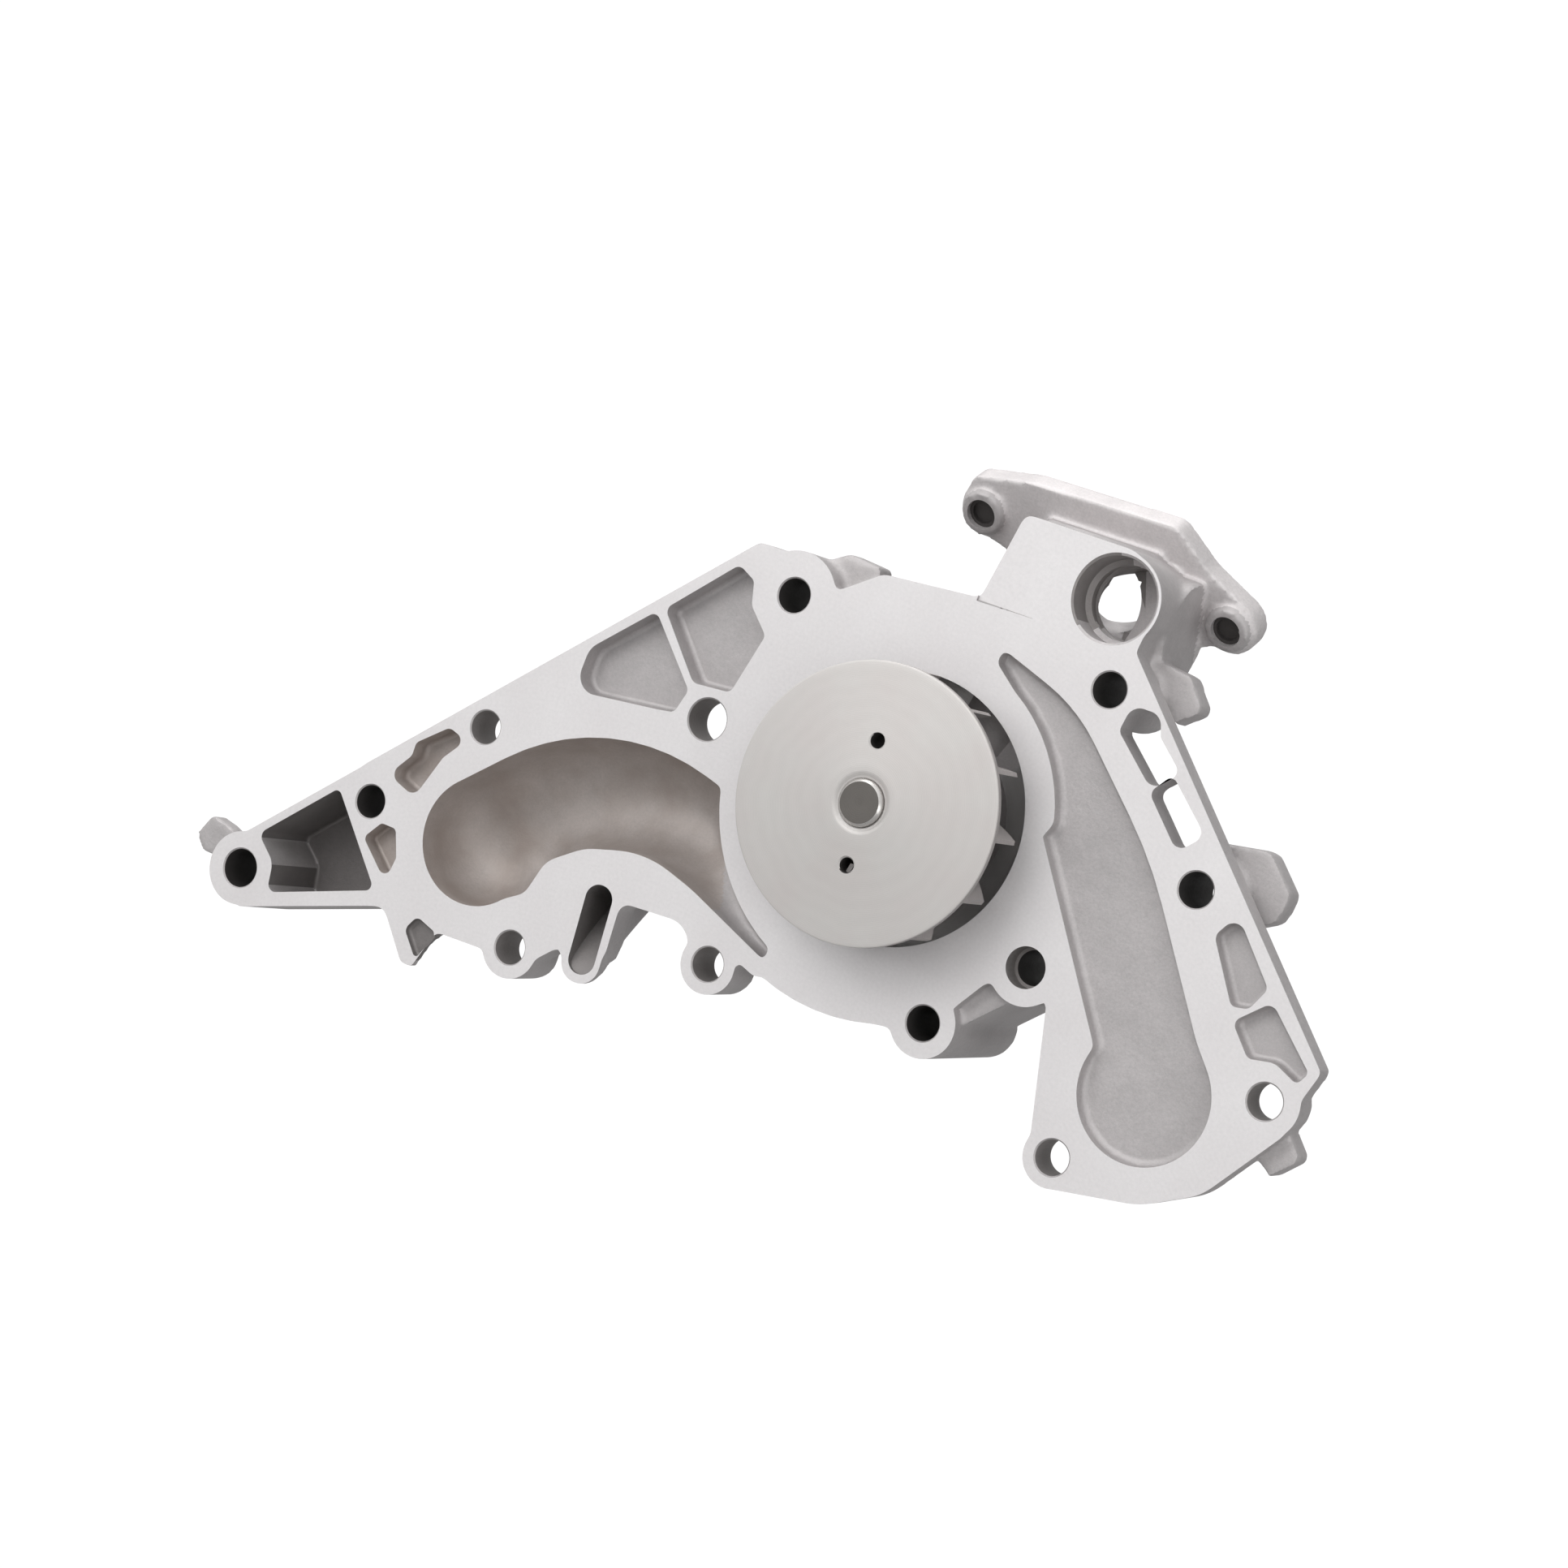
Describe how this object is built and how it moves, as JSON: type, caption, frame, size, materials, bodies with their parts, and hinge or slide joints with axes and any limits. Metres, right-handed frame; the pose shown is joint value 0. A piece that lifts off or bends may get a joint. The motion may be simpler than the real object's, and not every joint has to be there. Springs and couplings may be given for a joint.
{
  "type": "engine water pump",
  "caption": "Coolant pump for a V engine: cast aluminium housing with volute pockets and thermostat flange, vaned impeller, sealed shaft bearing, face seal and belt pulley.",
  "frame": {"origin": "where the shaft's axis crosses the machined gasket face", "axes": "+Y runs along the shaft from the engine to the belt pulley, +Z is the engine's up (the middle of the V), +X is to the right as seen from the engine"},
  "size_m": [0.3241, 0.0985, 0.1795],
  "materials": {
    "cast_aluminium": "sand cast, with milled faces",
    "impeller_steel": "pressed and turned",
    "shaft_steel": "ground, dull at the end",
    "pulley_steel": "turned",
    "bearing_steel": "ground",
    "seal_steel": "pressed sheet",
    "cage_brass": "satin",
    "seal_rubber": "matt",
    "seal_carbon": "carbon graphite, lapped",
    "seal_ceramic": "ceramic, lapped"
  },
  "bodies": {
    "housing": {"pump_housing": "cast_aluminium", "bearing_outer_ring": "bearing_steel", "bearing_seal_rear": "seal_rubber", "bearing_seal_front": "seal_rubber", "seal_case": "seal_steel", "seal_bellows": "seal_rubber", "seal_spring": "seal_steel"},
    "rotor": {"pump_shaft": "shaft_steel", "impeller": "impeller_steel", "belt_pulley": "pulley_steel", "seal_ceramic_ring": "seal_ceramic", "seal_seat_boot": "seal_rubber", "shaft_slinger": "seal_steel"},
    "ball_row": {"ball_cage": "cage_brass", "bearing_ball_1": "bearing_steel", "bearing_ball_2": "bearing_steel", "bearing_ball_3": "bearing_steel", "bearing_ball_4": "bearing_steel", "bearing_ball_5": "bearing_steel", "bearing_ball_6": "bearing_steel", "bearing_ball_7": "bearing_steel", "bearing_ball_8": "bearing_steel", "bearing_ball_9": "bearing_steel"},
    "roller_row": {"roller_cage": "cage_brass", "bearing_roller_1": "bearing_steel", "bearing_roller_2": "bearing_steel", "bearing_roller_3": "bearing_steel", "bearing_roller_4": "bearing_steel", "bearing_roller_5": "bearing_steel", "bearing_roller_6": "bearing_steel", "bearing_roller_7": "bearing_steel", "bearing_roller_8": "bearing_steel", "bearing_roller_9": "bearing_steel", "bearing_roller_10": "bearing_steel", "bearing_roller_11": "bearing_steel"},
    "face_ring": {"seal_carbon_ring": "seal_carbon"}
  },
  "joints": [
    {"name": "shaft_spin", "type": "hinge", "parent": "housing", "child": "rotor", "pos_m": [0, 0, 0], "axis": [0, 1, 0], "continuous": true},
    {"name": "ball_row_spin", "type": "hinge", "parent": "housing", "child": "ball_row", "pos_m": [0, 0, 0], "axis": [0, 1, 0], "continuous": true},
    {"name": "roller_row_spin", "type": "hinge", "parent": "housing", "child": "roller_row", "pos_m": [0, 0, 0], "axis": [0, 1, 0], "continuous": true},
    {"name": "face_ring_slide", "type": "slide", "parent": "housing", "child": "face_ring", "axis": [0, 1, 0], "range_m": [-0.0002, 0.001], "stiffness_N_per_m": 3000, "deforming": ["seal_bellows", "seal_spring"]}
  ],
  "couplings": [
    {"joint": "ball_row_spin", "follows": "shaft_spin", "ratio": 0.3825},
    {"joint": "roller_row_spin", "follows": "shaft_spin", "ratio": 0.4125}
  ]
}
